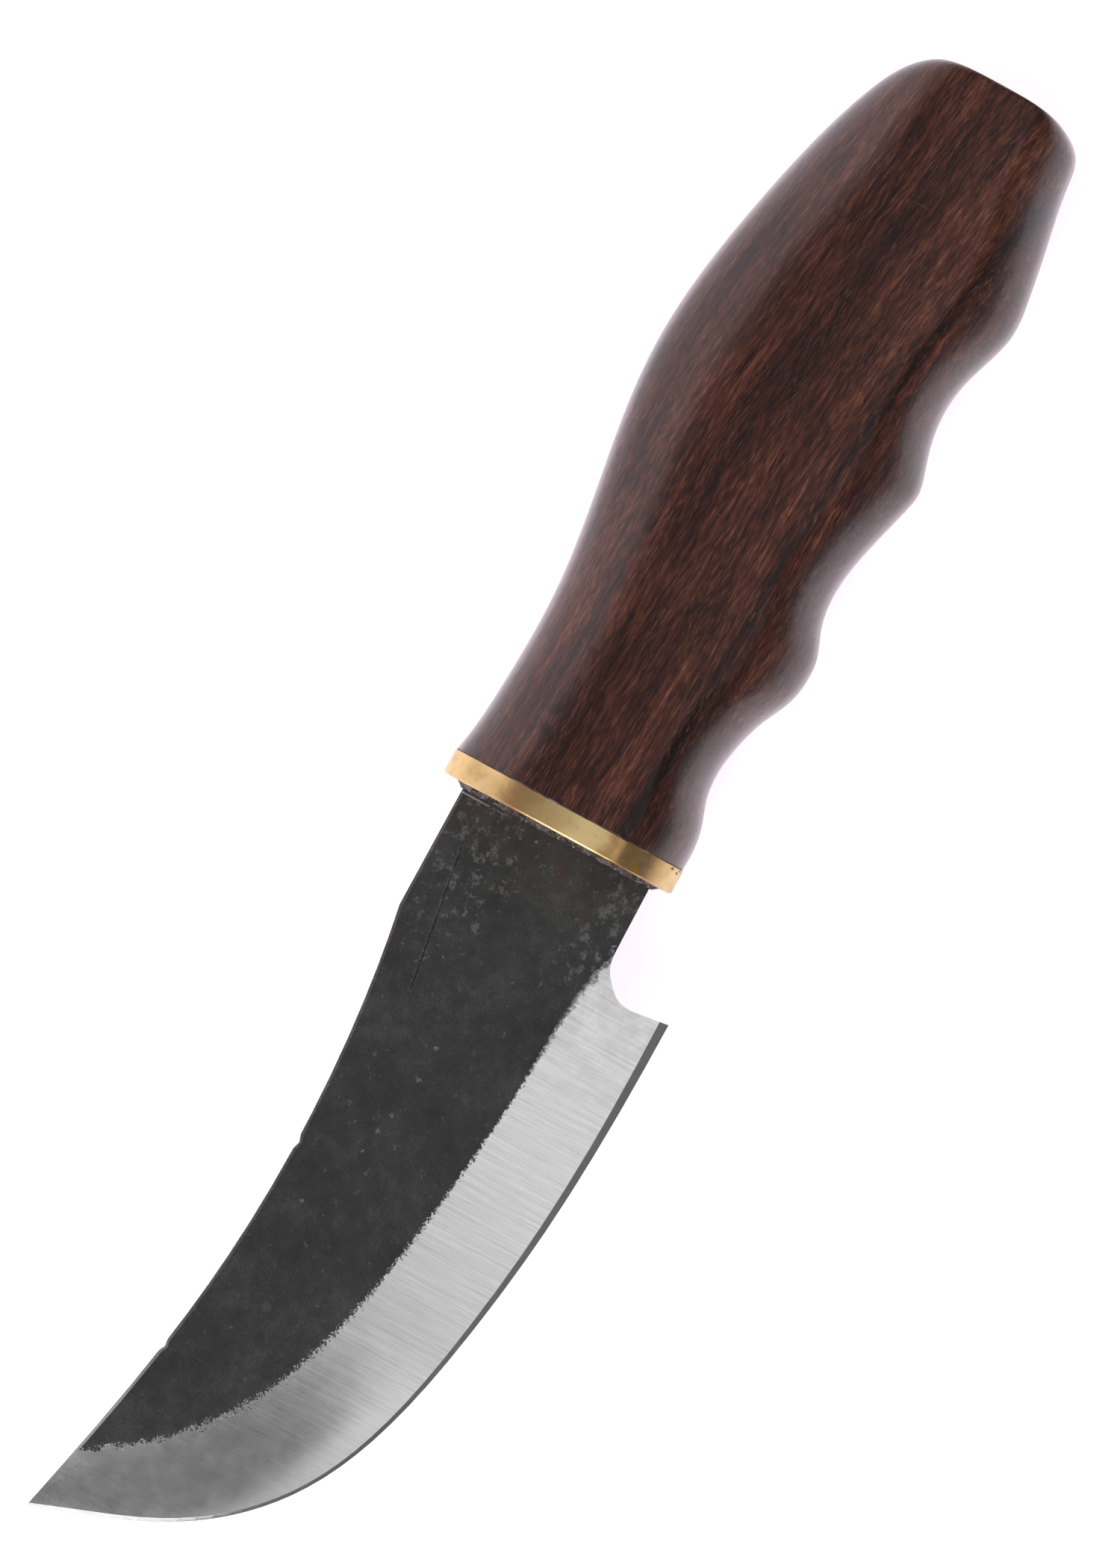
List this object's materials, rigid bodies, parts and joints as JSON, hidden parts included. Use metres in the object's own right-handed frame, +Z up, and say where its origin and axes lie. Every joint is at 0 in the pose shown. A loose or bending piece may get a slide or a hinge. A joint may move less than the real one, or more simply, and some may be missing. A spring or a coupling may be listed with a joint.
{
  "type": "whittling knife",
  "caption": "Hand-forged fixed-blade knife: an upswept blade with a finger notch, a brass plate and a wooden handle grooved for the fingers.",
  "frame": {"origin": "under the middle of the knife's bounding box, on the surface that it lies on", "axes": "+X from the butt to the point, +Y towards the cutting edge, +Z up, through the flat sides"},
  "size_m": [0.2082, 0.041, 0.022],
  "materials": {
    "blade_steel": "black forge scale with satin ground bevels",
    "bolster_brass": "sanded, slightly tarnished",
    "rosewood": "oiled, soft gloss",
    "cement": "dull, crusty"
  },
  "bodies": {
    "root": {"blade": "blade_steel", "bolster_plate": "bolster_brass", "handle": "rosewood", "joint_film": "cement", "tang_cement": "cement", "cement_bead": "cement"}
  },
  "joints": []
}
